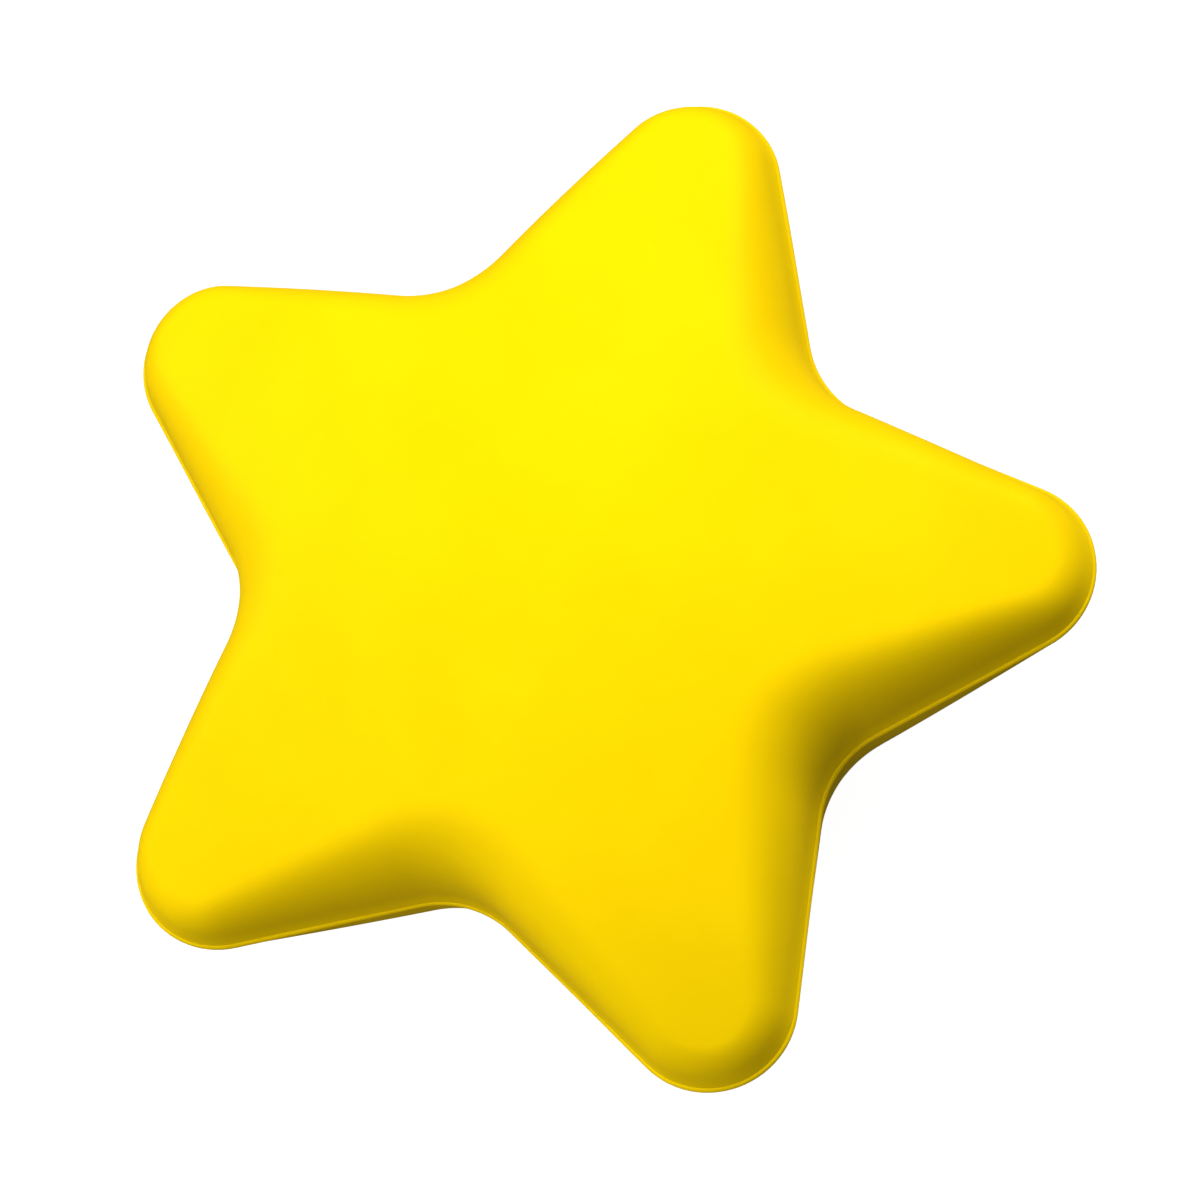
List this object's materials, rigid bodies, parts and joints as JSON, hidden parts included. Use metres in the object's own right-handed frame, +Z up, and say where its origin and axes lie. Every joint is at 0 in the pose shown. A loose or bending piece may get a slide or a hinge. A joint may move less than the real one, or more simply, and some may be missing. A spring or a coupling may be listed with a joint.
{
  "type": "stress ball",
  "caption": "Star-shaped soft foam stress ball: two moulded skin halves around a foam core, with a squeeze through its thickness.",
  "frame": {"origin": "centre of the flat the star rests on, on its five-fold axis, at table level", "axes": "+Z up through the thickness, +Y along the first arm, +X to the right"},
  "size_m": [0.0808, 0.0775, 0.0302],
  "materials": {
    "skin_upper": "satin pigmented skin of soft polyurethane foam",
    "skin_lower": "satin pigmented skin of soft polyurethane foam",
    "core_foam": "open-cell soft polyurethane foam, matte",
    "bead": "trimmed foam flash, satin"
  },
  "bodies": {
    "lower_half": {"lower_skin": "skin_lower", "foam_core": "core_foam", "parting_bead": "bead"},
    "upper_half": {"upper_skin": "skin_upper"}
  },
  "joints": [
    {"name": "squeeze", "type": "slide", "parent": "lower_half", "child": "upper_half", "axis": [0, 0, -1], "range_m": [0, 0.012], "stiffness_N_per_m": 3800, "deforming": ["foam_core", "lower_skin", "parting_bead"]}
  ]
}
